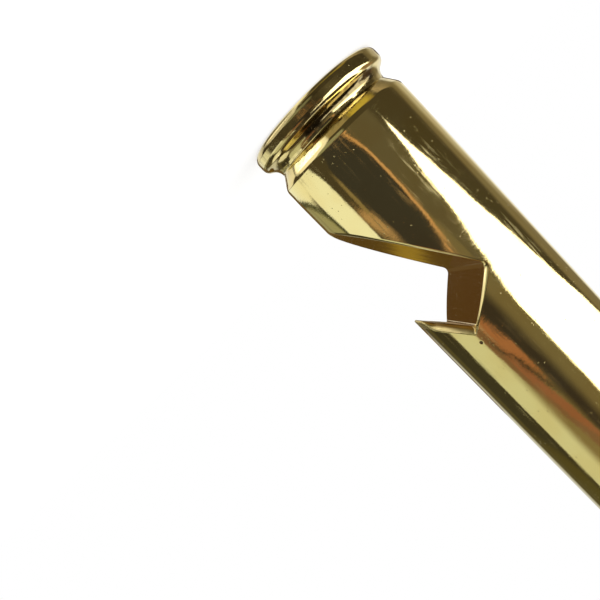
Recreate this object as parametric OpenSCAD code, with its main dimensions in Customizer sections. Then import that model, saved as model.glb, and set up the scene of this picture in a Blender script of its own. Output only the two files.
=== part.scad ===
// Cartridge-shaped bottle opener: a solid turned case with a cap notch cut through it,
// a bullet pressed into the case's mouth and a primer pressed into its base.
// Millimetres. It stands on its base at z = 0, its axis is +Z and the notch opens towards +X.

/* [Case body] */
// Length of the case from its base to the start of the shoulder
body_len = 76.4; // [60:0.1:90]
// Diameter of the body just above the groove's bevel
body_base_d = 20.25; // [17:0.05:24]
// Diameter of the body at the start of the shoulder
body_top_d = 18.15; // [16:0.05:20]
// Length of the shoulder along the axis
shoulder_len = 6.9; // [4:0.1:12]
// Length of the neck from the shoulder to the mouth
neck_len = 16; // [12:0.1:24]
// Thickness of the neck's wall round the bullet
neck_wall = 0.62; // [0.4:0.02:1.5]
// Radius that blends the shoulder into the body and into the neck
shoulder_blend = 3; // [0.5:0.1:5]
// Radius on the mouth's outer edge
mouth_edge = 0.25; // [0.1:0.05:0.4]

/* [Rim and groove] */
// Diameter of the rim
rim_d = 20.8; // [18.8:0.05:24]
// Thickness of the rim at its edge
rim_t = 2.3; // [1.9:0.05:4]
// Radius on the rim's base edge
rim_edge = 1; // [0.2:0.05:1.1]
// Radius on the rim's edge beside the groove
rim_back_edge = 0.8; // [0.2:0.05:0.9]
// Lean of the rim's back face along the axis
rim_back_lean = 0.8; // [0.3:0.05:1.2]
// Width of the groove's floor along the axis
groove_w = 1.1; // [0.9:0.05:3]
// Depth of the groove below the body
groove_depth = 1.18; // [0.6:0.02:2.5]
// Radius between the rim's back face and the groove's floor
groove_fillet = 1; // [0.2:0.05:1.1]
// Length of the bevel from the groove up to the body
bevel_len = 1.75; // [1.2:0.05:4]
// Radius between the groove's floor and the bevel
bevel_fillet = 0.25; // [0.1:0.05:0.5]
// Radius that blends the bevel into the body
bevel_blend = 1.4; // [0.2:0.1:2]

/* [Cap notch] */
// Height of the notch's innermost corner above the base
notch_z = 28.95; // [26:0.05:45]
// Distance of that corner from the axis, positive towards the opening
notch_x = 0; // [-3:0.05:3]
// Angle between the axis and the wall that bears on top of the cap
bearing_angle = 33.5; // [28:0.5:45]
// Angle between the axis and the notch's end wall
end_angle = 48.5; // [40:0.5:60]
// Width of the notch's end wall
end_w = 7.6; // [6.5:0.05:9]
// Angle between the axis and the wall of the hooked lip
lip_angle = 41.5; // [34:0.5:52]
// Radius in that innermost corner
root_fillet = 0.9; // [0.2:0.05:1.5]
// Radius in the corner between the end wall and the hooked lip
inner_fillet = 0.35; // [0.2:0.05:1.5]
// Radius on the edge where the bearing wall meets the body
heel_radius = 1.5; // [0.3:0.1:4]
// Radius on the hooked lip's tip
lip_radius = 0.35; // [0.1:0.05:0.8]
// Height above the body at which those two radii run out
run_out = 0.05; // [0.01:0.01:0.2]

/* [Bullet] */
// Diameter of the bullet
bullet_d = 12.98; // [9:0.02:15]
// Length of bullet that stands out of the mouth
bullet_out = 38.7; // [28:0.1:50]
// Length of bullet seated in the mouth
bullet_seat = 15; // [8:0.1:20]
// Straight length above the mouth, before the curve of the nose
bullet_parallel = 4; // [2.5:0.1:8]
// Radius of the nose's blunt tip
tip_radius = 0.9; // [0.4:0.05:2.5]
// Width of the crimping groove just above the mouth
cannelure_w = 1.2; // [0.5:0.1:2]
// Depth of the crimping groove
cannelure_depth = 0.2; // [0.1:0.05:0.6]
// Height of the crimping groove above the mouth
cannelure_up = 0.3; // [0:0.05:0.5]
// Bevel on the bullet's seated end
bullet_lead = 0.6; // [0.2:0.05:1.5]

/* [Primer] */
// Diameter of the primer
primer_d = 8.05; // [5:0.05:10]
// Height of the primer
primer_h = 5; // [3:0.1:8]
// Depth of the primer's face below the base
primer_recess = 0.15; // [0:0.05:0.5]
// Radius on the primer's outer edge
primer_edge = 0.6; // [0.2:0.05:1]

/* [Fits] */
// Gap all round a pressed-in piece
fit_gap = 0.02; // [0.01:0.005:0.05]

/* [Hidden] */
$fn = 128;
fine = 1440;
over = 2;
trim_scale = 1.6;
arc_ease = 1.002;

rim_r = rim_d / 2;
body_r = body_base_d / 2;
body_top_r = body_top_d / 2;
bullet_r = bullet_d / 2;
primer_r = primer_d / 2;
bore_r = bullet_r + fit_gap;
pocket_r = primer_r + fit_gap;
neck_r = bore_r + neck_wall;

groove_r = body_r - groove_depth;
groove_z0 = rim_t + rim_back_lean;
groove_z1 = groove_z0 + groove_w;
body_z = groove_z1 + bevel_len;
neck_z = body_len + shoulder_len;
mouth_z = neck_z + neck_len;
seat_z = mouth_z - bullet_seat;
tip_z = mouth_z + bullet_out;
pocket_z = primer_recess + primer_h;

// The body's outline runs straight from its foot to the shoulder.
taper = (body_r - body_top_r) / (body_len - body_z);
body_line = [-taper, 1];
function body_radius(z) = body_r - taper * (z - body_z);

// The notch's corners lie in the XZ plane. Its edge radii run out on a line just clear of the body.
reach = max(rim_r, body_r) + over;
bearing_dir = [sin(bearing_angle), -cos(bearing_angle)];
end_dir = [sin(end_angle), cos(end_angle)];
lip_dir = [sin(lip_angle), -cos(lip_angle)];
root = [notch_x, notch_z];
inner = root + end_w * end_dir;
heel = past_body(root, bearing_dir);
lip = past_body(inner, lip_dir);
heel_end = heel - (heel_radius + over) * body_line;
lip_end = lip + (lip_radius + over) * body_line;

// The nose is an arc that leaves the bullet's side smoothly and ends in a round tip.
nose_z = mouth_z + bullet_parallel;
nose_h = tip_z - tip_radius - nose_z;
nose_r = (nose_h * nose_h / (bullet_r - tip_radius) + bullet_r + tip_radius) / 2;
nose_centre = [bullet_r - nose_r, nose_z];
tip_centre = [0, tip_z - tip_radius];
tip_touch = tip_centre + tip_radius * unit(tip_centre - nose_centre);

function unit(v) = v / norm(v);

// Point on a ray from p where it meets the line that is run_out clear of the body's outline
function past_body(p, dir) =
    p + (body_radius(p[1]) + run_out - p[0]) / (dir[0] + taper * dir[1]) * dir;

// Half of the angle at p between its neighbours a and b
function half_angle(a, p, b) = acos(unit(a - p) * unit(b - p)) / 2;

// Points where an arc of radius r touches the two sides of the corner at p
function touch(a, p, b, r) =
    let (t = r / tan(half_angle(a, p, b)))
    [p + t * unit(a - p), p + t * unit(b - p)];

// Centre of that arc
function arc_centre(a, p, b, r) =
    p + r / sin(half_angle(a, p, b)) * unit(unit(a - p) + unit(b - p));

function before(points, i) = points[(i + len(points) - 1) % len(points)];
function after(points, i) = points[(i + 1) % len(points)];

// A counterclockwise outline turns left at its outer corners.
function is_outer(points, i) =
    cross(points[i] - before(points, i), after(points, i) - points[i]) > 0;

// Region between the corner at p and the arc that rounds it. The arc is a hair too wide, so that it crosses
// the corner's sides and doesn't only graze them.
module corner_trim(a, p, b, r) {
    ends = touch(a, p, b, r);
    centre = arc_centre(a, p, b, r);
    translate(centre)
        difference() {
            polygon([for (q = [centre, ends[0], p, ends[1]]) trim_scale * (q - centre)]);
            circle(r * arc_ease);
        }
}

// Counterclockwise outline whose corners are rounded by the radii given, 0 for a sharp one
module rounded(points, radii) {
    last = len(points) - 1;
    difference() {
        union() {
            polygon(points);
            for (i = [0:last])
                if (radii[i] > 0 && !is_outer(points, i))
                    corner_trim(after(points, i), points[i], before(points, i), radii[i]);
        }
        for (i = [0:last])
            if (radii[i] > 0 && is_outer(points, i))
                corner_trim(before(points, i), points[i], after(points, i), radii[i]);
    }
}

// Half outline of the case from its axis: rim, groove, bevel, tapered body, shoulder and neck
module case_outline() {
    rounded(
        [
            [0, 0],
            [rim_r, 0],
            [rim_r, rim_t],
            [groove_r, groove_z0],
            [groove_r, groove_z1],
            [body_r, body_z],
            [body_top_r, body_len],
            [neck_r, neck_z],
            [neck_r, mouth_z],
            [0, mouth_z]
        ],
        [
            0, rim_edge, rim_back_edge, groove_fillet, bevel_fillet, bevel_blend,
            shoulder_blend, shoulder_blend, mouth_edge, 0
        ]
    );
}

// Outline of the notch, with x across the case and y up its axis
module notch_outline() {
    rounded(
        [[reach, heel_end[1]], [reach, lip_end[1]], lip_end, lip, inner, root, heel, heel_end],
        [0, 0, 0, lip_radius, inner_fillet, root_fillet, heel_radius, 0]
    );
}

module notch() {
    rotate([90, 0, 0])
        linear_extrude(2 * reach, center = true)
            notch_outline();
}

module case() {
    color("gold")
        difference() {
            rotate_extrude() case_outline();
            notch();
            translate([0, 0, seat_z]) cylinder(h = bullet_seat + over, r = bore_r);
            translate([0, 0, -over]) cylinder(h = pocket_z + over, r = pocket_r);
        }
}

// Half outline of the bullet from its axis: seated shank, curved nose and round tip
module bullet_outline() {
    difference() {
        union() {
            polygon([
                [0, seat_z],
                [bullet_r - bullet_lead, seat_z],
                [bullet_r, seat_z + bullet_lead],
                [bullet_r, nose_z],
                [0, nose_z]
            ]);
            intersection() {
                translate(nose_centre) circle(nose_r, $fn = fine);
                translate([0, nose_z]) square([bullet_r, tip_touch[1] - nose_z]);
            }
            intersection() {
                translate(tip_centre) circle(tip_radius);
                translate([0, nose_z]) square([bullet_r, bullet_out]);
            }
        }
        translate([bullet_r - cannelure_depth, mouth_z + cannelure_up])
            square([cannelure_depth + over, cannelure_w]);
    }
}

module bullet() {
    color("peru")
        rotate_extrude() bullet_outline();
}

module primer() {
    color("goldenrod")
        rotate_extrude()
            rounded(
                [[0, primer_recess], [primer_r, primer_recess], [primer_r, pocket_z], [0, pocket_z]],
                [0, primer_edge, 0, 0]
            );
}

case();
bullet();
primer();
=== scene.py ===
"""Looks of the cartridge-shaped bottle opener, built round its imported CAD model.

The case is lathed with soft edges and its cap notch is blended into it, so that the mirror finish
shows highlights where the real edges are rounded. The bullet and the primer are lathed too.
Outlines are in millimetres, in the CAD frame, and become metres when a mesh is made.
"""

import math
from collections import namedtuple

import bmesh
import bpy
import numpy as np
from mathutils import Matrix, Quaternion, Vector
from mathutils.geometry import delaunay_2d_cdt


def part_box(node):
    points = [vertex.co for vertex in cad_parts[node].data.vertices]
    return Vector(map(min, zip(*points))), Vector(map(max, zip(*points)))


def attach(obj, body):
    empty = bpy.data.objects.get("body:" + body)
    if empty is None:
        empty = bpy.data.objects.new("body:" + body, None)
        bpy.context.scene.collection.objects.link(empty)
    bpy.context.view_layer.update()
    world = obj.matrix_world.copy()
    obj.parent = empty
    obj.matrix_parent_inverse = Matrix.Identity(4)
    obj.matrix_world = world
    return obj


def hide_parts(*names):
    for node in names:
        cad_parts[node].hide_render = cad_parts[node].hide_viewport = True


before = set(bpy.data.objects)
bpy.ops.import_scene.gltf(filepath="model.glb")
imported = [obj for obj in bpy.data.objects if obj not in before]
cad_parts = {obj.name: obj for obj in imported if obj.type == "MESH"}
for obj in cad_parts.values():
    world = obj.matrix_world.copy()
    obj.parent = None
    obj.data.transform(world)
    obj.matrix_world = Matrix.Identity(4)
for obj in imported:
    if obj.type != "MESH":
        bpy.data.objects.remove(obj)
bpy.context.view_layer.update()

MM = 0.001


def node_box(node):
    """Lowest and highest corner of a CAD node, in millimetres."""
    low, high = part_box(node)
    return low / MM, high / MM


case_low, case_high = node_box("case")
bullet_low, bullet_high = node_box("bullet")
primer_low, primer_high = node_box("primer")

# Case outline
RIM_R = case_high.x
RIM_T = 2.3
RIM_SOFT = 1.0
RIM_BACK_SOFT = 1.0
GROOVE_R = 8.945
GROOVE_Z0 = 3.1
GROOVE_Z1 = 4.2
GROOVE_SOFT = 1.6
GROOVE_LEAN = 0.04
BEVEL_FOOT_SOFT = 0.25
BODY_R = 10.125
BODY_Z = 5.95
BEVEL_SOFT = 1.4
FOOT_WEAR = 0.05
FOOT_Z = 8.2
FOOT_SOFT = 130.0
BODY_TOP_R = 9.075
BODY_TOP_Z = 76.4
NECK_R = 7.13
NECK_Z = 83.3
SHOULDER_SOFT = 3.0
MOUTH_Z = case_high.z
MOUTH_SOFT = 0.25
INNER_SOFT = 0.12
FIT_GAP = 0.02
TAPER = (BODY_R - BODY_TOP_R) / (BODY_TOP_Z - BODY_Z)

# Bullet and primer outlines
BULLET_R = bullet_high.x
SEAT_Z = bullet_low.z
TIP_Z = bullet_high.z
BULLET_LEAD = 0.6
NOSE_Z = MOUTH_Z + 4.0
TIP_R = 0.9
CANNELURE_Z0 = MOUTH_Z + 0.3
CANNELURE_Z1 = MOUTH_Z + 1.5
CANNELURE_DEPTH = 0.2
CANNELURE_SOFT = 0.08
BULLET_SOFT = 0.1
PRIMER_R = primer_high.x
PRIMER_Z0 = primer_low.z
PRIMER_Z1 = primer_high.z
PRIMER_SOFT = 0.6

# Cap notch, in the XZ plane
ROOT = np.array([0.0, 28.95])
BEARING_ANGLE = math.radians(33.5)
END_ANGLE = math.radians(48.5)
END_W = 7.6
LIP_ANGLE = math.radians(41.5)
ROOT_R = 0.9
INNER_R = 0.35

# Softness of the notch's edges. The end wall and the hooked lip add to it, each fading out between two
# values of x. Across an edge it is a superellipse: power 2 is round, and less is flatter. The lip's power
# sets in where the cosine between a wall's normal and the lip's passes FACET_COS.
EDGE_SOFT = 0.26
END_SOFT = 0.26
END_FADE_X0 = 0.5
END_FADE_X1 = 5.0
FACET = 0.92
FACET_FADE_X0 = 8.2
FACET_FADE_X1 = 9.5
ROUND_POWER = 2.0
FACET_POWER = 1.35
FACET_COS = 0.5

# Mesh fineness. The band is the stretch of the body that the notch is blended into.
TINY = 1e-9
MERGE = 1e-6
SLOPE_STEP = 1e-4
FIELD_ROUNDS = 6
SEGMENTS = 160
ANGLES = -math.pi + 2 * math.pi * np.arange(SEGMENTS + 1) / SEGMENTS
ARC_STEP = math.radians(9)
NOSE_ROWS = 40
TIP_ROWS = 10
BAND_Z0 = 12.0
BAND_Z1 = 38.0
BAND_ROWS = 48
LOOP_CLEARANCE = 0.3
WALL_COLUMNS = 20
BLEND_ROWS = 10
SIDE_POINTS = 64
END_POINTS = 25
CORNER_POINTS = 17

Row = namedtuple("Row", "r z nr nz")


def body_radius(z):
    return BODY_R - TAPER * (z - BODY_Z)


def right_of(direction):
    return np.array([direction[1], -direction[0]])


def unit(v):
    return v / np.linalg.norm(v)


def turned(v, angle):
    c = math.cos(angle)
    s = math.sin(angle)
    return np.array([v[0] * c - v[1] * s, v[0] * s + v[1] * c])


def rounded_rows(corners):
    """Rows of a lathe along corners given as (radius, height, softness).

    The surface faces right of the path, and a corner with no softness ends a straight stretch.
    """
    points = [np.array(c[:2], float) for c in corners]
    rows = []
    for i, (_, _, soft) in enumerate(corners):
        p = points[i]
        into = unit(p - points[i - 1]) if i else None
        out = unit(points[i + 1] - p) if i + 1 < len(points) else None
        if soft == 0:
            normal = right_of(out if into is None else into)
            rows.append(Row(*p, *normal))
            continue
        turn = math.atan2(into[0] * out[1] - into[1] * out[0], into @ out)
        start = p - into * soft * math.tan(abs(turn) / 2)
        radius = math.copysign(soft, turn)
        centre = start - right_of(into) * radius
        steps = max(2, math.ceil(abs(turn) / ARC_STEP))
        for k in range(steps + 1):
            n = turned(right_of(into), turn * k / steps)
            rows.append(Row(*(centre + n * radius), *n))
    return rows


class Surface:
    """Vertices, their normals and the faces of one closed mesh, in millimetres."""

    def __init__(self):
        self.points = []
        self.normals = []
        self.faces = []

    def add(self, points, normals):
        start = sum(len(p) for p in self.points)
        self.points.append(np.asarray(points, float).reshape(-1, 3))
        self.normals.append(np.asarray(normals, float).reshape(-1, 3))
        return np.arange(start, start + len(self.points[-1]))

    def strip(self, a, b, closed=True):
        """Quads between two rows of vertices, or triangles where one row is a single point."""
        n = max(len(a), len(b))
        for k in range(n if closed else n - 1):
            m = (k + 1) % n
            if len(a) == 1:
                self.faces.append((a[0], b[m], b[k]))
            elif len(b) == 1:
                self.faces.append((a[k], a[m], b[0]))
            else:
                self.faces.append((a[k], a[m], b[m], b[k]))

    def lathe(self, rows, skip=None):
        """Turns the rows about the axis and joins them, apart from the gap above row number skip."""
        rings = []
        for row in rows:
            on_axis = row.r < TINY
            a = ANGLES[:1] if on_axis else ANGLES[:-1]
            across = 0 if on_axis else row.nr
            ring = np.c_[row.r * np.cos(a), row.r * np.sin(a), np.full(len(a), row.z)]
            normals = np.c_[across * np.cos(a), across * np.sin(a), np.full(len(a), row.nz)]
            rings.append(self.add(ring, normals))
        for i in range(len(rows) - 1):
            if i != skip:
                self.strip(rings[i], rings[i + 1])
        return rings

    def piece(self, name, node, material):
        """The finished Blender object, riding on the root body in place of its CAD node."""
        mesh = bpy.data.meshes.new(name)
        points = np.vstack(self.points) * MM
        mesh.from_pydata(points.tolist(), [], [tuple(int(v) for v in f) for f in self.faces])
        solid = bmesh.new()
        solid.from_mesh(mesh)
        bmesh.ops.recalc_face_normals(solid, faces=solid.faces)
        solid.to_mesh(mesh)
        solid.free()
        mesh.polygons.foreach_set("use_smooth", np.ones(len(mesh.polygons), bool))
        mesh.normals_split_custom_set_from_vertices(np.vstack(self.normals).tolist())
        mesh.materials.append(material)
        obj = bpy.data.objects.new(name, mesh)
        bpy.context.scene.collection.objects.link(obj)
        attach(obj, "root")
        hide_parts(node)
        return obj


# Cap notch: its three walls, each with a direction along the wall and a normal into the opening
BEARING_DIR = np.array([math.sin(BEARING_ANGLE), -math.cos(BEARING_ANGLE)])
END_DIR = np.array([math.sin(END_ANGLE), math.cos(END_ANGLE)])
LIP_DIR = np.array([math.sin(LIP_ANGLE), -math.cos(LIP_ANGLE)])
INNER = ROOT + END_W * END_DIR
BEARING_N = -right_of(BEARING_DIR)
END_N = right_of(END_DIR)
LIP_N = right_of(LIP_DIR)


def corner_centre(p, n1, n2, radius):
    """Centre of the arc in the notch's corner at p, which touches both walls."""
    return p + np.linalg.solve(np.array([n1, n2]), np.array([radius, radius]))


ROOT_CENTRE = corner_centre(ROOT, BEARING_N, END_N, ROOT_R)
INNER_CENTRE = corner_centre(INNER, END_N, LIP_N, INNER_R)


def smooth_step(v, low, high):
    t = np.clip((v - low) / (high - low), 0, 1)
    return t * t * (3 - 2 * t)


def edge_softness(x, normal):
    """How far the notch's edges are rounded where its walls face a normal.

    Along the hooked lip they have a broad facet, which ends in a mitre at the end wall.
    """
    end = normal @ END_N
    lip = normal @ LIP_N
    on_end = smooth_step(end, BEARING_N @ END_N, 1)
    plain = EDGE_SOFT + on_end * END_SOFT * (1 - smooth_step(x, END_FADE_X0, END_FADE_X1))
    facet = EDGE_SOFT + FACET * (1 - smooth_step(x, FACET_FADE_X0, FACET_FADE_X1))
    along_lip = (INNER_R + facet) / np.maximum(lip, TINY)
    along_end = (INNER_R + EDGE_SOFT) / np.maximum(end, TINY)
    return np.where(lip > 0, np.minimum(along_lip, along_end) - INNER_R, plain)


def corner_distance(p, centre, n1, n2, radius):
    """Distance of XZ points behind two of the opening's walls and their arc, and the way back."""
    w = p - centre
    mix = np.linalg.solve(-np.array([n1, n2]).T, w.T).T
    behind1 = -w @ n1
    behind2 = -w @ n2
    far = np.linalg.norm(w, axis=1)
    in_arc = (mix > 0).all(1)
    back = np.where((behind1 > behind2)[:, None], n1, n2)
    back = np.where(in_arc[:, None], -w / np.maximum(far, TINY)[:, None], back)
    return np.where(in_arc, far, np.maximum(behind1, behind2)) - radius, back


def notch_field(p):
    """Zero on the case near the notch and negative inside it, with the notch's edges rounded."""
    x, y, z = p.T
    body = (np.hypot(x, y) - body_radius(z)) / math.hypot(1, TAPER)
    flat = np.c_[x, z]
    root, root_back = corner_distance(flat, ROOT_CENTRE, BEARING_N, END_N, ROOT_R)
    inner, inner_back = corner_distance(flat, INNER_CENTRE, END_N, LIP_N, INNER_R)
    opening = np.maximum(root, inner)
    back = np.where((root > inner)[:, None], root_back, inner_back)
    soft = edge_softness(x + opening * back[:, 0], back)
    power = ROUND_POWER + (FACET_POWER - ROUND_POWER) * smooth_step(back @ LIP_N, FACET_COS, 1)
    sides = np.maximum(body + soft, 0) ** power + np.maximum(soft - opening, 0) ** power
    return np.minimum(np.maximum(body, -opening), -soft) + sides ** (1 / power)


def field_slope(p):
    moves = np.eye(3) * SLOPE_STEP
    rise = np.stack([notch_field(p + m) - notch_field(p - m) for m in moves], axis=1)
    return rise / (2 * SLOPE_STEP)


def onto_field(p):
    """Moves points onto the rounded case and gives its normals there."""
    for _ in range(FIELD_ROUNDS):
        slope = field_slope(p)
        p = p - slope * (notch_field(p) / (slope * slope).sum(1))[:, None]
    slope = field_slope(p)
    return p, slope / np.linalg.norm(slope, axis=1)[:, None]


def wall_end(start, direction, inset):
    """Point where a wall's line leaves the body, whose radius is made smaller by inset."""
    gap = body_radius(start[1]) - inset - start[0]
    return start + direction * gap / (direction[0] + TAPER * direction[1])


def notch_path(wall_inset, body_inset):
    """Points along the notch from heel to lip, in the XZ plane, and the softness at each.

    wall_inset and body_inset, 0 or 1, move the path into the metal and inside the body by that softness.
    """
    heel = wall_end(ROOT, BEARING_DIR, 0)
    tip = wall_end(INNER, LIP_DIR, 0)
    heel_soft = edge_softness(heel[0], BEARING_N)
    tip_soft = edge_softness(tip[0], LIP_N)
    first = wall_end(ROOT - wall_inset * heel_soft * BEARING_N, BEARING_DIR, body_inset * heel_soft)
    last = wall_end(INNER - wall_inset * tip_soft * LIP_N, LIP_DIR, body_inset * tip_soft)
    first = first + wall_inset * heel_soft * BEARING_N
    last = last + wall_inset * tip_soft * LIP_N
    into = 1 - np.cos(np.linspace(0, math.pi / 2, SIDE_POINTS))
    even = np.linspace(0, 1, END_POINTS)
    turns = np.linspace(0, 1, CORNER_POINTS)[1:-1]

    def line(a, b, t, normal):
        return [(a + (b - a) * k, normal) for k in t]

    def arc(centre, n1, n2, radius):
        normals = [unit(n1 + (n2 - n1) * t) for t in turns]
        return [(centre - radius * n, n) for n in normals]

    samples = (
        line(first, ROOT_CENTRE - ROOT_R * BEARING_N, into, BEARING_N)
        + arc(ROOT_CENTRE, BEARING_N, END_N, ROOT_R)
        + line(ROOT_CENTRE - ROOT_R * END_N, INNER_CENTRE - INNER_R * END_N, even, END_N)
        + arc(INNER_CENTRE, END_N, LIP_N, INNER_R)
        + line(INNER_CENTRE - INNER_R * LIP_N, last, 1 - into[::-1], LIP_N)
    )
    base = np.array([s[0] for s in samples])
    normal = np.array([s[1] for s in samples])
    soft = edge_softness(base[:, 0], normal)
    soft[0] = heel_soft
    soft[-1] = tip_soft
    return base - wall_inset * soft[:, None] * normal, soft


def notch_loop(wall_inset, body_inset):
    """Closed loop round the notch, from the heel along +Y to the lip and back along -Y."""
    path, soft = notch_path(wall_inset, body_inset)
    radius = body_radius(path[:, 1]) - body_inset * soft
    y = np.sqrt(np.maximum(radius**2 - path[:, 0] ** 2, 0))
    y[0] = y[-1] = 0
    there = np.c_[path[:, 0], y, path[:, 1]]
    back = (there * [1, -1, 1])[-2:0:-1]
    return np.vstack([there, back])


def body_normals(p):
    """Normals of the tapered body, apart from their length."""
    return np.c_[p[:, :2] / np.linalg.norm(p[:, :2], axis=1)[:, None], np.full(len(p), TAPER)]


def inside(points, loop):
    """Which 2-D points lie in a closed loop."""
    found = np.zeros(len(points), bool)
    for a, b in zip(loop, np.roll(loop, -1, axis=0)):
        crosses = (a[1] > points[:, 1]) != (b[1] > points[:, 1])
        with np.errstate(divide="ignore", invalid="ignore"):
            at = a[0] + (b[0] - a[0]) * (points[:, 1] - a[1]) / (b[1] - a[1])
        found ^= crosses & (points[:, 0] < at)
    return found


def notch_band(surface, low_ring, high_ring):
    """Fills the gap between two rings with the body's skin, the notch's rounded edge and its walls."""
    outer = notch_loop(1, 0)
    edge = notch_loop(0, 0)
    inner, inner_n = onto_field(notch_loop(0, 1))
    outer_ids = surface.add(outer, body_normals(outer))
    inner_ids = surface.add(inner, inner_n)
    skin(surface, low_ring, high_ring, outer, outer_ids)
    previous = outer_ids
    for k in range(1, BLEND_ROWS):
        t = (1 - math.cos(math.pi * k / BLEND_ROWS)) / 2
        guess = (1 - t) ** 2 * outer + 2 * t * (1 - t) * edge + t**2 * inner
        ids = surface.add(*onto_field(guess))
        surface.strip(previous, ids)
        previous = ids
    surface.strip(previous, inner_ids)
    walls(surface, inner, inner_ids)


def skin(surface, low_ring, high_ring, loop, loop_ids):
    """The body's skin round the notch, triangulated on the unrolled body."""
    heights = np.linspace(BAND_Z0, BAND_Z1, BAND_ROWS + 1)
    loop_flat = np.c_[np.arctan2(loop[:, 1], loop[:, 0]) * BODY_R, loop[:, 2]]
    flat = [loop_flat]
    ids = [loop_ids]
    wrap = np.r_[np.arange(SEGMENTS), 0]
    rows = []
    for z in heights:
        row = np.c_[ANGLES * BODY_R, np.full(len(ANGLES), z)]
        keep = np.ones(len(row), bool)
        if z == BAND_Z0:
            row_ids = low_ring[wrap]
        elif z == BAND_Z1:
            row_ids = high_ring[wrap]
        else:
            near = np.linalg.norm(row[:, None] - loop_flat[None], axis=2).min(1) < LOOP_CLEARANCE
            keep = ~(near | inside(row, loop_flat))
            kept = keep[:-1]
            r = body_radius(z)
            a = ANGLES[:-1]
            ring = np.c_[r * np.cos(a), r * np.sin(a), np.full(SEGMENTS, z)]
            row_ids = np.full(SEGMENTS, -1)
            row_ids[kept] = surface.add(*onto_field(ring[kept]))
            row_ids = row_ids[wrap]
        start = sum(len(f) for f in flat)
        flat.append(row[keep])
        ids.append(row_ids[keep])
        rows.append(start + np.arange(keep.sum()))
    flat = np.vstack(flat)
    ids = np.concatenate(ids)
    n = len(loop)
    fixed = [(k, (k + 1) % n) for k in range(n)]
    fixed += [(a, b) for row in (rows[0], rows[-1]) for a, b in zip(row[:-1], row[1:])]
    fixed += [(a[end], b[end]) for a, b in zip(rows[:-1], rows[1:]) for end in (0, -1)]
    fixed = [(int(a), int(b)) for a, b in fixed]
    _, _, triangles, origin, _, _ = delaunay_2d_cdt([Vector(p) for p in flat], fixed, [], 0, MERGE)
    triangles = np.array([[origin[v][0] for v in t] for t in triangles])
    middle = flat[triangles].mean(1)
    for t in triangles[~inside(middle, loop_flat)]:
        surface.faces.append(tuple(ids[t]))


def walls(surface, loop, loop_ids):
    """The notch's walls: a row of quads across the opening for each pair of points on the loop."""
    half = len(loop) // 2
    left = np.arange(1, half)
    right = len(loop) - left
    share = np.linspace(0, 1, WALL_COLUMNS + 1)[1:-1]
    previous = loop_ids[:1]
    for a, b in zip(left, right):
        between = loop[a] + (loop[b] - loop[a]) * share[:, None]
        row = np.r_[loop_ids[a], surface.add(*onto_field(between)), loop_ids[b]]
        surface.strip(previous, row, closed=False)
        previous = row
    surface.strip(previous, loop_ids[half:half + 1], closed=False)


def make_case(material):
    pocket_r = PRIMER_R + FIT_GAP
    bore_r = BULLET_R + FIT_GAP
    rows = rounded_rows([
        (0, PRIMER_Z1, 0),
        (pocket_r, PRIMER_Z1, INNER_SOFT),
        (pocket_r, 0, INNER_SOFT),
        (RIM_R, 0, RIM_SOFT),
        (RIM_R, RIM_T, RIM_BACK_SOFT),
        (GROOVE_R + GROOVE_LEAN, GROOVE_Z0, GROOVE_SOFT),
        (GROOVE_R - GROOVE_LEAN, GROOVE_Z1, BEVEL_FOOT_SOFT),
        (BODY_R - FOOT_WEAR, BODY_Z, BEVEL_SOFT),
        (body_radius(FOOT_Z), FOOT_Z, FOOT_SOFT),
        (body_radius(BAND_Z0), BAND_Z0, 0),
        (body_radius(BAND_Z1), BAND_Z1, 0),
        (BODY_TOP_R, BODY_TOP_Z, SHOULDER_SOFT),
        (NECK_R, NECK_Z, SHOULDER_SOFT),
        (NECK_R, MOUTH_Z, MOUTH_SOFT),
        (bore_r, MOUTH_Z, INNER_SOFT),
        (bore_r, SEAT_Z, INNER_SOFT),
        (0, SEAT_Z, 0),
    ])
    gap = next(i for i, row in enumerate(rows) if row.z == BAND_Z0)
    surface = Surface()
    rings = surface.lathe(rows, skip=gap)
    notch_band(surface, rings[gap], rings[gap + 1])
    return surface.piece("opener_case", "case", material)


def make_bullet(material):
    height = TIP_Z - TIP_R - NOSE_Z
    nose_r = (height**2 / (BULLET_R - TIP_R) + BULLET_R + TIP_R) / 2
    tip_angle = math.asin(height / (nose_r - TIP_R))
    shank = rounded_rows([
        (0, SEAT_Z, 0),
        (BULLET_R - BULLET_LEAD, SEAT_Z, BULLET_SOFT),
        (BULLET_R, SEAT_Z + BULLET_LEAD, BULLET_SOFT),
        (BULLET_R, CANNELURE_Z0, CANNELURE_SOFT),
        (BULLET_R - CANNELURE_DEPTH, CANNELURE_Z0, CANNELURE_SOFT),
        (BULLET_R - CANNELURE_DEPTH, CANNELURE_Z1, CANNELURE_SOFT),
        (BULLET_R, CANNELURE_Z1, CANNELURE_SOFT),
        (BULLET_R, NOSE_Z, 0),
    ])
    nose = [
        Row(BULLET_R - nose_r * (1 - math.cos(a)), NOSE_Z + nose_r * math.sin(a), math.cos(a), math.sin(a))
        for a in np.linspace(0, tip_angle, NOSE_ROWS)[1:]
    ]
    tip = [
        Row(TIP_R * math.cos(a), TIP_Z - TIP_R + TIP_R * math.sin(a), math.cos(a), math.sin(a))
        for a in np.linspace(tip_angle, math.pi / 2, TIP_ROWS)[1:-1]
    ]
    surface = Surface()
    surface.lathe(shank + nose + tip + [Row(0, TIP_Z, 0, 1)])
    return surface.piece("opener_bullet", "bullet", material)


def make_primer(material):
    surface = Surface()
    surface.lathe(rounded_rows([
        (0, PRIMER_Z0, 0),
        (PRIMER_R, PRIMER_Z0, PRIMER_SOFT),
        (PRIMER_R, PRIMER_Z1, INNER_SOFT),
        (0, PRIMER_Z1, 0),
    ]))
    return surface.piece("opener_primer", "primer", material)


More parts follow.
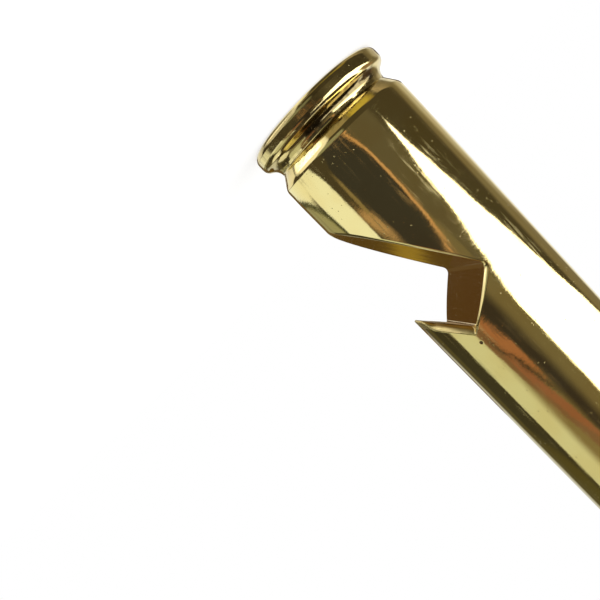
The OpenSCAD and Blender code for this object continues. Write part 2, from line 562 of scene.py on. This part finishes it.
class Nodes:
    """Adds nodes to a tree: a value or colour is set on its socket, and a socket is linked to it."""

    def __init__(self, tree):
        self.tree = tree

    def set(self, socket, value):
        if isinstance(value, bpy.types.NodeSocket):
            self.tree.links.new(value, socket)
        else:
            socket.default_value = value

    def add(self, kind, *inputs, **settings):
        node = self.tree.nodes.new(kind)
        for name, value in settings.items():
            setattr(node, name, value)
        for socket, value in zip(node.inputs, inputs):
            self.set(socket, value)
        return node

    def math(self, operation, *inputs):
        return self.add("ShaderNodeMath", *inputs, operation=operation).outputs[0]

    def product(self, first, *others):
        for other in others:
            first = self.math("MULTIPLY", first, other)
        return first

    def highest(self, first, *others):
        for other in others:
            first = self.math("MAXIMUM", first, other)
        return first

    def ramp(self, value, low, high, start=0.0, end=1.0):
        """Smooth step of a value from start at low to end at high."""
        node = self.add("ShaderNodeMapRange", value, low, high, start, end, interpolation_type="SMOOTHSTEP")
        return node.outputs[0]

    def band(self, value, rise, fall):
        """1 between two fades, each given by the value where it is 0 and the one where it is 1."""
        return self.product(self.ramp(value, *rise), self.ramp(value, *fall))

    def noise(self, place, size, detail=2.0):
        """Noise from 0 to 1, whose lumps are about size across."""
        node = self.add("ShaderNodeTexNoise")
        self.set(node.inputs["Vector"], place)
        self.set(node.inputs["Scale"], 1 / size)
        self.set(node.inputs["Detail"], detail)
        return node.outputs["Fac"]

    def cells(self, place, size):
        """Distance to the nearest of scattered points that are about size apart, as a share of size."""
        node = self.add("ShaderNodeTexVoronoi")
        self.set(node.inputs["Vector"], place)
        self.set(node.inputs["Scale"], 1 / size)
        return node.outputs["Distance"]

    def mix(self, share, a, b):
        """Colour a, with a share of colour b."""
        node = self.add("ShaderNodeMix", share, data_type="RGBA")
        from_colour, to_colour = (socket for socket in node.inputs if socket.type == "RGBA")
        self.set(from_colour, a)
        self.set(to_colour, b)
        return next(socket for socket in node.outputs if socket.type == "RGBA")

    def stretch(self, place, factors):
        return self.add("ShaderNodeVectorMath", place, factors, operation="MULTIPLY").outputs[0]

    def bump(self, height, depth, under=None):
        """Normal of a relief whose height runs from 0 to 1 and stands for a depth in millimetres."""
        node = self.add("ShaderNodeBump")
        self.set(node.inputs["Distance"], depth * MM)
        self.set(node.inputs["Height"], height)
        if under is not None:
            self.set(node.inputs["Normal"], under)
        return node.outputs[0]


class Metal(Nodes):
    """A metal's node tree, with the place on the object in millimetres and the shader to set."""

    def __init__(self, name):
        self.material = bpy.data.materials.new(name)
        self.material.use_nodes = True
        super().__init__(self.material.node_tree)
        self.shader = self.tree.nodes["Principled BSDF"]
        self.shader.inputs["Metallic"].default_value = 1
        point = self.add("ShaderNodeTexCoord").outputs["Object"]
        self.place = self.stretch(point, (1 / MM,) * 3)
        self.x, self.y, self.z = self.add("ShaderNodeSeparateXYZ", self.place).outputs
        across = self.math("ADD", self.math("POWER", self.x, 2), self.math("POWER", self.y, 2))
        self.radius = self.math("SQRT", across)

    def near(self, point, far, close, start=0.0, end=1.0):
        """Smooth step of the distance from a point, from start where it is far to end where it is close."""
        node = self.add("ShaderNodeVectorMath", self.place, point, operation="DISTANCE")
        return self.ramp(node.outputs["Value"], far, close, start, end)

    def behind(self, point, normal):
        """How far the place lies behind the notch's wall through an XZ point, on the metal's side."""
        along = self.math("MULTIPLY_ADD", self.x, -normal[0], point @ normal)
        return self.math("MULTIPLY_ADD", self.z, -normal[1], along)

    def finish(self, colour, roughness, normal):
        self.set(self.shader.inputs["Base Color"], colour)
        self.set(self.shader.inputs["Roughness"], roughness)
        self.set(self.shader.inputs["Normal"], normal)
        return self.material


# Gold plate: its colours, and the places of single marks with the distances between which they fade in.
# Some of them paint shade and dark reflections on the foot and in the notch.
GOLD = (0.95, 0.79, 0.36, 1)
GOLD_DEEP = (0.90, 0.69, 0.27, 1)
# Darker gold of the notch's walls: partly their duller cut metal, partly painted shade inside the notch
SHADED_CUT_GOLD = (0.62, 0.42, 0.15, 1)
GRIME_AND_SHADE = (0.13, 0.085, 0.04, 1)
DIRT_AND_SHADE = (0.06, 0.042, 0.022, 1)
PIT_PLACE = (6.5, -7.16, 35.99)
PIT_FADE = (0.3, 0.16)
# Places of the darkest painted shade on the rim's back, the second with a dirt spot across the rim's edge
DIRT_AND_SHADE_PLACE = (-1.3, -9.2, 3.0)
DIRT_AND_SHADE_FADE = (7.2, 5.6)
DIRT_AND_SHADE_SPOT = (1.8, -10.1, 2.3)
DIRT_AND_SHADE_SPOT_FADE = (2.8, 0.8)
DIRT_AND_SHADE_SPOT_SHARE = 0.6
# Place of a painted dark reflection on the rim's front
RIM_SHADE_SPOT = (7.3, -7.3, 0.5)
RIM_SHADE_SPOT_FADE = (5.5, 3.0)
RIM_SHADE_SPOT_SHARE = 0.5
BRUSH_PLACE = (-1.0, -9.7, 27.0)
BRUSH_FADE = (6.5, 2.0)

# Heights at which parts of the case fade in and out, 0 at the first of a pair and 1 at the second
NOTCH_BAND = ((13.0, 14.0), (35.0, 34.5))
FOOT_BAND = ((0.0, 0.5), (7.0, 5.0))
RIM_BAND = ((0.0, 0.4), (2.5, 2.1))
RIM_SHADE_SPOT_BAND = ((0.0, 0.2), (1.0, 0.75))
RIM_BACK_BAND = ((2.3, 2.5), (3.8, 3.5))
GROOVE_RISE = (2.0, 2.6)

# Depths below the body's surface over which parts of the case fade in
WALL_DEPTHS = (0.25, 0.6)
GROOVE_DEPTHS = (0.4, 1.1)
RIM_BACK_DEPTHS = (0.1, 0.5)

# Reach of the lip's ground facet, behind the lip's wall and behind the end wall
GROUND_BAND = ((-0.1, 0.1), (1.1, 0.9))
GROUND_END = (0.3, 0.1)

# Sizes of the marks, and the depths of their relief
WAVE_SIZE = 7.0
WAVE_DEPTH = 0.035
DENT_SIZE = 1.7
DENT_DEPTH = 0.05
BODY_DENTS = 0.12
FOOT_DENTS = 0.5
GRAIN_SIZE = 0.22
GRAIN_DEPTH = 0.0018
HAIR_STRETCH = (0.35, 0.35, 8.0)
HAIR_DEPTH = 0.0014
HAIR_ELSEWHERE = 0.02
SPECK_GAP = 0.6
SPECK_DEPTH = 0.02
CLUSTER_SIZE = 2.2
SCUFF_STRETCH = (2.2, 2.2, 0.12)
SCUFF_SIZE = 4.0
TONE_SIZE = 5.0
PATCH_SIZE = 0.8

# Shares of painted shade, dirt and grime, of the deeper gold and of polish, the gold's roughness, and what
# each mark adds to it
SHADE_SHARE = (0.08, 0.28)
DIRT_AND_SHADE_SHARE = (0.95, 0.8)
SPECK_GRIME = 0.5
GROUND_GRIME = 0.25
DEEP_SHARE = 0.5
WALL_POLISH = 0.8
POLISH_ROUGH = (0.04, 0.08)
SCUFF_ROUGH = 0.14
WALL_ROUGH = 0.03
GRIME_AND_SHADE_ROUGH = 0.18
GROUND_ROUGH = 0.3


def foot_shade_and_dirt(m, depth, foot):
    """Shares of painted shade on the rim and in the groove, and of a darker painted shade with a dirt spot
    on the rim's back.
    """
    patches = m.noise(m.place, PATCH_SIZE, 3.0)
    # Painted shade in the groove, in patches
    groove = m.product(m.ramp(depth, *GROOVE_DEPTHS), foot, m.ramp(m.z, *GROOVE_RISE))
    groove_shade = m.product(groove, m.ramp(patches, 0.35, 0.65, *SHADE_SHARE))
    # Painted dark reflection on the rim's side, in patches, darker at one spot on its front
    rim_shade = m.product(m.band(m.z, *RIM_BAND), m.ramp(patches, 0.3, 0.7, *SHADE_SHARE))
    rim_shade_spot = m.product(m.near(RIM_SHADE_SPOT, *RIM_SHADE_SPOT_FADE), m.band(m.z, *RIM_SHADE_SPOT_BAND), RIM_SHADE_SPOT_SHARE)
    # Painted dark reflection, darkest, on one side of the rim's back and the groove's mouth, with a dirt
    # spot across the rim's edge
    rim_back = m.product(m.ramp(depth, *RIM_BACK_DEPTHS), m.band(m.z, *RIM_BACK_BAND))
    dirt_and_shade = m.product(rim_back, m.near(DIRT_AND_SHADE_PLACE, *DIRT_AND_SHADE_FADE))
    dirt_and_shade = m.highest(dirt_and_shade, m.near(DIRT_AND_SHADE_SPOT, *DIRT_AND_SHADE_SPOT_FADE, 0.0, DIRT_AND_SHADE_SPOT_SHARE))
    dirt_and_shade = m.product(dirt_and_shade, m.ramp(patches, 0.3, 0.6, *DIRT_AND_SHADE_SHARE))
    return m.highest(groove_shade, rim_shade, rim_shade_spot), dirt_and_shade


def polished_gold():
    """Mirror-polished gold plate: waves, dents, fine grain, specks, scuffs and one pit, with painted shade
    and a dirt spot on the foot and painted shade on the notch's walls.
    """
    m = Metal("polished_gold")
    body = m.math("MULTIPLY_ADD", m.z, -TAPER, BODY_R + TAPER * BODY_Z)
    depth = m.math("SUBTRACT", body, m.radius)
    in_notch = m.band(m.z, *NOTCH_BAND)
    wall = m.product(m.ramp(depth, *WALL_DEPTHS), in_notch)
    foot = m.band(m.z, *FOOT_BAND)
    behind_lip = m.band(m.behind(INNER, LIP_N), *GROUND_BAND)
    ground = m.product(behind_lip, m.ramp(m.behind(ROOT, END_N), *GROUND_END), in_notch)
    smooth = m.math("SUBTRACT", 1.0, m.product(wall, WALL_POLISH))

    grain = m.noise(m.place, GRAIN_SIZE, 3.0)
    wave = m.noise(m.place, WAVE_SIZE, 1.0)
    dents = m.product(m.noise(m.place, DENT_SIZE), m.ramp(foot, 0.0, 1.0, BODY_DENTS, FOOT_DENTS))
    clusters = m.ramp(m.noise(m.place, CLUSTER_SIZE), 0.54, 0.64)
    specks = m.product(m.ramp(m.cells(m.place, SPECK_GAP), 0.15, 0.08), clusters)
    pit = m.near(PIT_PLACE, *PIT_FADE)
    hair = m.noise(m.stretch(m.place, HAIR_STRETCH), 1.0, 3.0)
    hair = m.product(hair, m.near(BRUSH_PLACE, *BRUSH_FADE, HAIR_ELSEWHERE, 1.0))
    streaks = m.noise(m.stretch(m.place, SCUFF_STRETCH), 1.0, 4.0)
    scuffs = m.product(m.ramp(streaks, 0.5, 0.66), m.ramp(m.noise(m.place, SCUFF_SIZE), 0.35, 0.65))

    foot_shade, dirt_and_shade = foot_shade_and_dirt(m, depth, foot)
    # Grime on the specks and the pit, together with the foot's painted shade
    grime_and_shade = m.highest(foot_shade, m.product(specks, SPECK_GRIME), pit)
    colour = m.mix(m.ramp(m.noise(m.place, TONE_SIZE), 0.4, 0.7, 0.0, DEEP_SHARE), GOLD, GOLD_DEEP)
    colour = m.mix(grime_and_shade, colour, GRIME_AND_SHADE)
    # Painted shade inside the notch, with the walls' duller cut metal
    colour = m.mix(wall, colour, SHADED_CUT_GOLD)
    colour = m.mix(m.product(ground, GROUND_GRIME), colour, GRIME_AND_SHADE)
    # Painted shade and a dirt spot, darkest, on the rim's back
    colour = m.mix(dirt_and_shade, colour, DIRT_AND_SHADE)

    rough = m.ramp(grain, 0.3, 0.7, *POLISH_ROUGH)
    rough = m.math("MULTIPLY_ADD", m.product(scuffs, smooth), SCUFF_ROUGH, rough)
    rough = m.math("MULTIPLY_ADD", wall, WALL_ROUGH, rough)
    rough = m.math("MULTIPLY_ADD", grime_and_shade, GRIME_AND_SHADE_ROUGH, rough)
    rough = m.math("MULTIPLY_ADD", ground, GROUND_ROUGH, rough)

    normal = m.bump(wave, WAVE_DEPTH)
    normal = m.bump(dents, DENT_DEPTH, normal)
    normal = m.bump(m.product(grain, smooth), GRAIN_DEPTH, normal)
    normal = m.bump(hair, HAIR_DEPTH, normal)
    normal = m.bump(m.math("SUBTRACT", 1.0, m.highest(specks, pit)), SPECK_DEPTH, normal)
    return m.finish(colour, rough, normal)


# Copper of the bullet
COPPER = (0.93, 0.52, 0.33, 1)
COPPER_DEEP = (0.80, 0.37, 0.20, 1)
RING_STRETCH = (0.05, 0.05, 1.0)
RING_SIZE = 0.25
RING_DEPTH = 0.0025
RING_ROUGH = (0.09, 0.17)
CLOUD_SIZE = 6.0
CLOUD_ROUGH = 0.08


def drawn_copper():
    """Polished copper with the fine rings that turning and polishing leave."""
    m = Metal("drawn_copper")
    rings = m.noise(m.stretch(m.place, RING_STRETCH), RING_SIZE, 3.0)
    cloud = m.noise(m.place, CLOUD_SIZE, 3.0)
    colour = m.mix(m.ramp(cloud, 0.35, 0.7), COPPER, COPPER_DEEP)
    rough = m.ramp(rings, 0.3, 0.7, *RING_ROUGH)
    rough = m.math("ADD", rough, m.ramp(cloud, 0.5, 0.8, 0.0, CLOUD_ROUGH))
    return m.finish(colour, rough, m.bump(rings, RING_DEPTH))


# Brass of the primer
BRASS = (0.86, 0.70, 0.36, 1)
BRASS_DULL = (0.62, 0.46, 0.20, 1)
TURNING_GAP = 0.25
TURNING_DEPTH = 0.004
TARNISH_SIZE = 1.2
TARNISH_WIDTH = 1.2
SATIN_ROUGH = (0.22, 0.38)


def satin_brass():
    """Satin brass with turning marks, duller towards its edge."""
    m = Metal("satin_brass")
    turning = m.math("FRACT", m.math("DIVIDE", m.radius, TURNING_GAP))
    turning = m.math("ABSOLUTE", m.math("SUBTRACT", turning, 0.5))
    cloud = m.noise(m.place, TARNISH_SIZE, 3.0)
    edge = m.ramp(m.radius, PRIMER_R - TARNISH_WIDTH, PRIMER_R)
    colour = m.mix(m.product(edge, m.ramp(cloud, 0.3, 0.7)), BRASS, BRASS_DULL)
    rough = m.ramp(cloud, 0.3, 0.7, *SATIN_ROUGH)
    return m.finish(colour, rough, m.bump(turning, TURNING_DEPTH))


make_case(polished_gold())
make_bullet(drawn_copper())
make_primer(satin_brass())

# Studio panels that the mirror finish reflects, painted one over the other on the sphere of directions.
# Angles and half sizes are in degrees. Power 1 makes a diamond, less than 1 one with hollow sides,
# 2 an ellipse, and more a soft-cornered box. Soft is how far a panel's edge fades to either side, as a
# share of its half size. Tilt lowers a panel's elevation by that share of the azimuth.
Panel = namedtuple("Panel", "azimuth elevation half_width half_height power soft tilt colour")
ROOM = (0.065, 0.055, 0.036)
OLIVE = (0.115, 0.10, 0.07)
PANELS = [
    # Soft light overhead, with bright and dim cards below
    Panel(0, 90, 400, 20, 8, 0.15, 0, (1.0, 1.0, 1.0)),
    Panel(150, -36, 14, 17, 4, 0.3, 0, (0.44, 0.37, 0.27)),
    Panel(-173, -51, 15, 8, 3, 0.3, 0, (0.27, 0.20, 0.07)),
    Panel(-58, -28, 28, 15, 5, 0.08, 0, (0.28, 0.29, 0.22)),
    Panel(-6, -36, 26, 12, 5, 0.08, 0, (1.0, 1.0, 0.95)),
    Panel(76, -24, 34, 13, 6, 0.1, 0, (0.85, 0.85, 0.80)),
    Panel(-80, -73, 62, 7, 2, 0.4, 0, (0.30, 0.25, 0.15)),
    Panel(-160, -61, 34, 4.5, 2, 0.4, 0.33, (0.50, 0.40, 0.08)),
    Panel(0, -54, 50, 25, 2.5, 0.15, 0, (1.0, 1.0, 1.0)),
    Panel(45, -80, 75, 11, 3, 0.15, 0, (1.0, 1.0, 1.0)),
    Panel(12, -54, 30, 4, 2, 0.3, -0.43, (3.0, 3.0, 3.0)),
    Panel(60, -52, 18, 12, 2, 0.3, 0, (0.28, 0.26, 0.20)),
    # Long bright panel at the left, with dark ones above and beside it
    Panel(-106, 2, 26, 12, 6, 0.2, 0, OLIVE),
    Panel(-139, 42, 175, 45, 0.8, 0.012, 0, (3.4, 3.4, 3.4)),
    Panel(0, 42, 27, 9, 6, 0.1, 0, (0.24, 0.23, 0.16)),
    Panel(-104, 3.8, 19.5, 5.2, 2, 0.06, 0, OLIVE),
    Panel(-80, 60, 140, 16, 6, 0.12, 0, (0.06, 0.045, 0.03)),
    Panel(-77, 20, 19.5, 16, 5, 0.06, 0, (0.17, 0.145, 0.09)),
    # Dark card in front, with a warm edge
    Panel(-64, 0.7, 29.5, 9.6, 2, 0.03, 0, (0.60, 0.36, 0.20)),
    Panel(-60, 0.7, 30, 8.7, 2, 0.04, 0, (0.042, 0.04, 0.038)),
    Panel(-55, 20, 18, 14, 4, 0.5, 0, (0.04, 0.033, 0.03)),
    Panel(-50, 48, 24, 20, 4, 0.2, 0, (0.045, 0.036, 0.028)),
    # Pale card at the right, with dark ones beside it
    Panel(-8, 20, 26, 13, 6, 0.06, 0, (0.63, 0.67, 0.57)),
    Panel(6, 1, 21.5, 7.8, 2.3, 0.06, 0, (0.90, 0.96, 0.95)),
    Panel(60, -6, 40, 4, 4, 0.15, 0, (0.90, 0.95, 0.90)),
    Panel(85, 1.5, 62, 5.5, 2.2, 0.03, 0, (0.07, 0.075, 0.045)),
    Panel(85, 1.8, 56, 4.8, 2.2, 0.05, 0, (0.33, 0.33, 0.22)),
    Panel(42, 19, 22, 10, 4, 0.12, 0, (0.044, 0.041, 0.028)),
    Panel(45, 27, 22, 5, 3, 0.3, 0.1, (0.085, 0.075, 0.03)),
    Panel(56, 17, 6, 15, 2, 0.5, 0, (0.09, 0.08, 0.04)),
    Panel(46, 37, 20, 8, 4, 0.15, 0, (0.85, 0.88, 0.84)),
    Panel(86, 21, 18, 11, 4, 0.35, 0, (0.58, 0.60, 0.58)),
    # Pale cards behind, with dark ones beside them
    Panel(145, 4, 19, 40, 3, 0.3, 0, (0.20, 0.17, 0.11)),
    Panel(133, -5, 16, 12, 2, 0.5, 0, (0.52, 0.48, 0.38)),
    Panel(110, -10, 20, 42, 6, 0.25, 0, (0.86, 0.85, 0.78)),
    Panel(158, 32, 22, 9, 4, 0.15, 0, (0.28, 0.20, 0.13)),
    Panel(122, -46, 16, 9, 4, 0.2, 0, (0.15, 0.14, 0.13)),
    Panel(92, -55, 14, 16, 3, 0.2, 0, (1.1, 1.1, 1.05)),
    # Brown cards behind the notch
    Panel(78, 1, 9, 9.5, 6, 0.1, 0, (0.15, 0.10, 0.04)),
    Panel(80, -13, 6.5, 5.5, 6, 0.08, 0, (0.116, 0.067, 0.022)),
    Panel(90, 11.5, 11, 7, 6, 0.08, 0, (0.105, 0.06, 0.010)),
    Panel(102, 2, 6, 10, 4, 0.2, 0, (0.20, 0.17, 0.10)),
    Panel(108, -9.5, 18, 4.5, 6, 0.1, 0, (0.10, 0.06, 0.03)),
    Panel(91, 10.7, 6, 0.9, 2, 0.4, 0, (0.36, 0.235, 0.025)),
    # Warm cards between the dark one and the pale one
    Panel(-34, 24, 18, 9, 2, 0.5, 0, (0.22, 0.18, 0.10)),
    Panel(-33, 20, 18, 4.6, 4, 0.15, 0.5, (0.20, 0.12, 0.08)),
    Panel(-40, 21.5, 13, 2.2, 2, 0.25, 0.3, (0.28, 0.125, 0.08)),
    Panel(-41, 16, 12, 2.2, 3, 0.06, 0.16, (0.36, 0.16, 0.09)),
    Panel(-38, 18.1, 15, 0.7, 2, 0.4, 0.2, (0.05, 0.04, 0.03)),
    Panel(-27, 3, 11, 1.6, 2, 0.5, 0.1, (0.45, 0.30, 0.18)),
    Panel(-30, 0.3, 3, 2.0, 2, 0.5, 0, (0.25, 0.20, 0.11)),
]
WHITE = (1, 1, 1, 1)
HALF_TURN = 180.0


def panel_group():
    """Node group that paints one panel over the colour under it."""
    group = bpy.data.node_groups.new("studio_panel", "ShaderNodeTree")
    numbers = ["Azimuth", "Elevation", "Panel azimuth", "Panel elevation", "Half width", "Half height"]
    numbers += ["Power", "Soft", "Tilt"]
    for name in numbers:
        group.interface.new_socket(name, in_out="INPUT", socket_type="NodeSocketFloat")
    for name in ("Colour", "Under"):
        group.interface.new_socket(name, in_out="INPUT", socket_type="NodeSocketColor")
    group.interface.new_socket("Colour", in_out="OUTPUT", socket_type="NodeSocketColor")
    n = Nodes(group)
    given = n.add("NodeGroupInput").outputs
    turn = n.math("SUBTRACT", given["Azimuth"], given["Panel azimuth"])
    turn = n.math("WRAP", turn, HALF_TURN, -HALF_TURN)
    rise = n.math("SUBTRACT", given["Elevation"], given["Panel elevation"])
    rise = n.math("MULTIPLY_ADD", turn, given["Tilt"], rise)
    across = n.math("ABSOLUTE", n.math("DIVIDE", turn, given["Half width"]))
    across = n.math("POWER", across, given["Power"])
    up = n.math("ABSOLUTE", n.math("DIVIDE", rise, given["Half height"]))
    up = n.math("POWER", up, given["Power"])
    reach = n.math("POWER", n.math("ADD", across, up), n.math("DIVIDE", 1.0, given["Power"]))
    inner = n.math("SUBTRACT", 1.0, given["Soft"])
    outer = n.math("ADD", 1.0, given["Soft"])
    n.add("NodeGroupOutput", n.mix(n.ramp(reach, inner, outer), given["Colour"], given["Under"]))
    return group


def make_world():
    """Plain white for the camera and for soft light, and the studio panels in reflections."""
    world = bpy.data.worlds.new("studio")
    bpy.context.scene.world = world
    world.use_nodes = True
    n = Nodes(world.node_tree)
    n.tree.nodes.clear()
    direction = n.add("ShaderNodeTexCoord").outputs["Generated"]
    x, y, z = n.add("ShaderNodeSeparateXYZ", direction).outputs
    azimuth = n.math("DEGREES", n.math("ARCTAN2", y, x))
    elevation = n.math("DEGREES", n.math("ARCSINE", z))
    group = panel_group()
    colour = (*ROOM, 1)
    for panel in PANELS:
        *numbers, tint = panel
        node = n.add("ShaderNodeGroup", node_tree=group)
        for socket, value in zip(node.inputs, (azimuth, elevation, *numbers, (*tint, 1), colour)):
            n.set(socket, value)
        colour = node.outputs[0]
    studio = n.add("ShaderNodeBackground", colour).outputs[0]
    plain = n.add("ShaderNodeBackground", WHITE).outputs[0]
    mirrored = n.add("ShaderNodeLightPath").outputs["Is Glossy Ray"]
    n.add("ShaderNodeOutputWorld", n.add("ShaderNodeMixShader", mirrored, plain, studio).outputs[0])


# Floor and lamp, in metres
FLOOR_R = 0.9
FLOOR_SEGMENTS = 96
FLOOR_GLOW = 0.66
FLOOR_COLOUR = (0.40, 0.40, 0.40, 1)
LAMP_PLACE = Vector((-0.42, -0.38, 0.40))
LAMP_SIZE = 0.5
LAMP_WATTS = 1.2

# Camera, in millimetres, standing where the photo's stood
CAMERA_PLACE = Vector((20.549, -96.547, 14.576))
CAMERA_TARGET = Vector((18.627, 0.369, 17.209))
CAMERA_ROLL = math.radians(136.08)
CAMERA_SENSOR = 36
CAMERA_LENS = 44.64
CAMERA_CLIP = 5.0


def make_floor():
    """Plain white floor that keeps a soft shadow of the object."""
    mesh = bpy.data.meshes.new("floor")
    disc = bmesh.new()
    bmesh.ops.create_circle(disc, cap_ends=True, segments=FLOOR_SEGMENTS, radius=FLOOR_R)
    disc.to_mesh(mesh)
    disc.free()
    material = bpy.data.materials.new("floor")
    material.use_nodes = True
    n = Nodes(material.node_tree)
    n.tree.nodes.clear()
    glow = n.add("ShaderNodeEmission", WHITE, FLOOR_GLOW).outputs[0]
    shade = n.add("ShaderNodeBsdfDiffuse", FLOOR_COLOUR).outputs[0]
    n.add("ShaderNodeOutputMaterial", n.add("ShaderNodeAddShader", glow, shade).outputs[0])
    mesh.materials.append(material)
    floor = bpy.data.objects.new("floor", mesh)
    floor.visible_glossy = False
    bpy.context.scene.collection.objects.link(floor)


def make_lamp():
    """One large soft lamp on the side of the bright panel."""
    data = bpy.data.lights.new("softbox", "AREA")
    data.size = LAMP_SIZE
    data.energy = LAMP_WATTS
    lamp = bpy.data.objects.new("softbox", data)
    lamp.location = LAMP_PLACE
    lamp.rotation_euler = (-LAMP_PLACE).to_track_quat("-Z", "Y").to_euler()
    lamp.visible_glossy = False
    bpy.context.scene.collection.objects.link(lamp)


def make_camera():
    data = bpy.data.cameras.new("photo_camera")
    data.sensor_width = CAMERA_SENSOR
    data.lens = CAMERA_LENS
    data.clip_start = CAMERA_CLIP * MM
    camera = bpy.data.objects.new("photo_camera", data)
    bpy.context.scene.collection.objects.link(camera)
    camera.location = CAMERA_PLACE * MM
    camera.rotation_mode = "QUATERNION"
    aim = (CAMERA_TARGET - CAMERA_PLACE).to_track_quat("-Z", "Y")
    camera.rotation_quaternion = aim @ Quaternion((0, 0, 1), CAMERA_ROLL)
    bpy.context.scene.camera = camera


make_world()
make_floor()
make_lamp()
make_camera()
bpy.context.scene.view_settings.view_transform = "Standard"
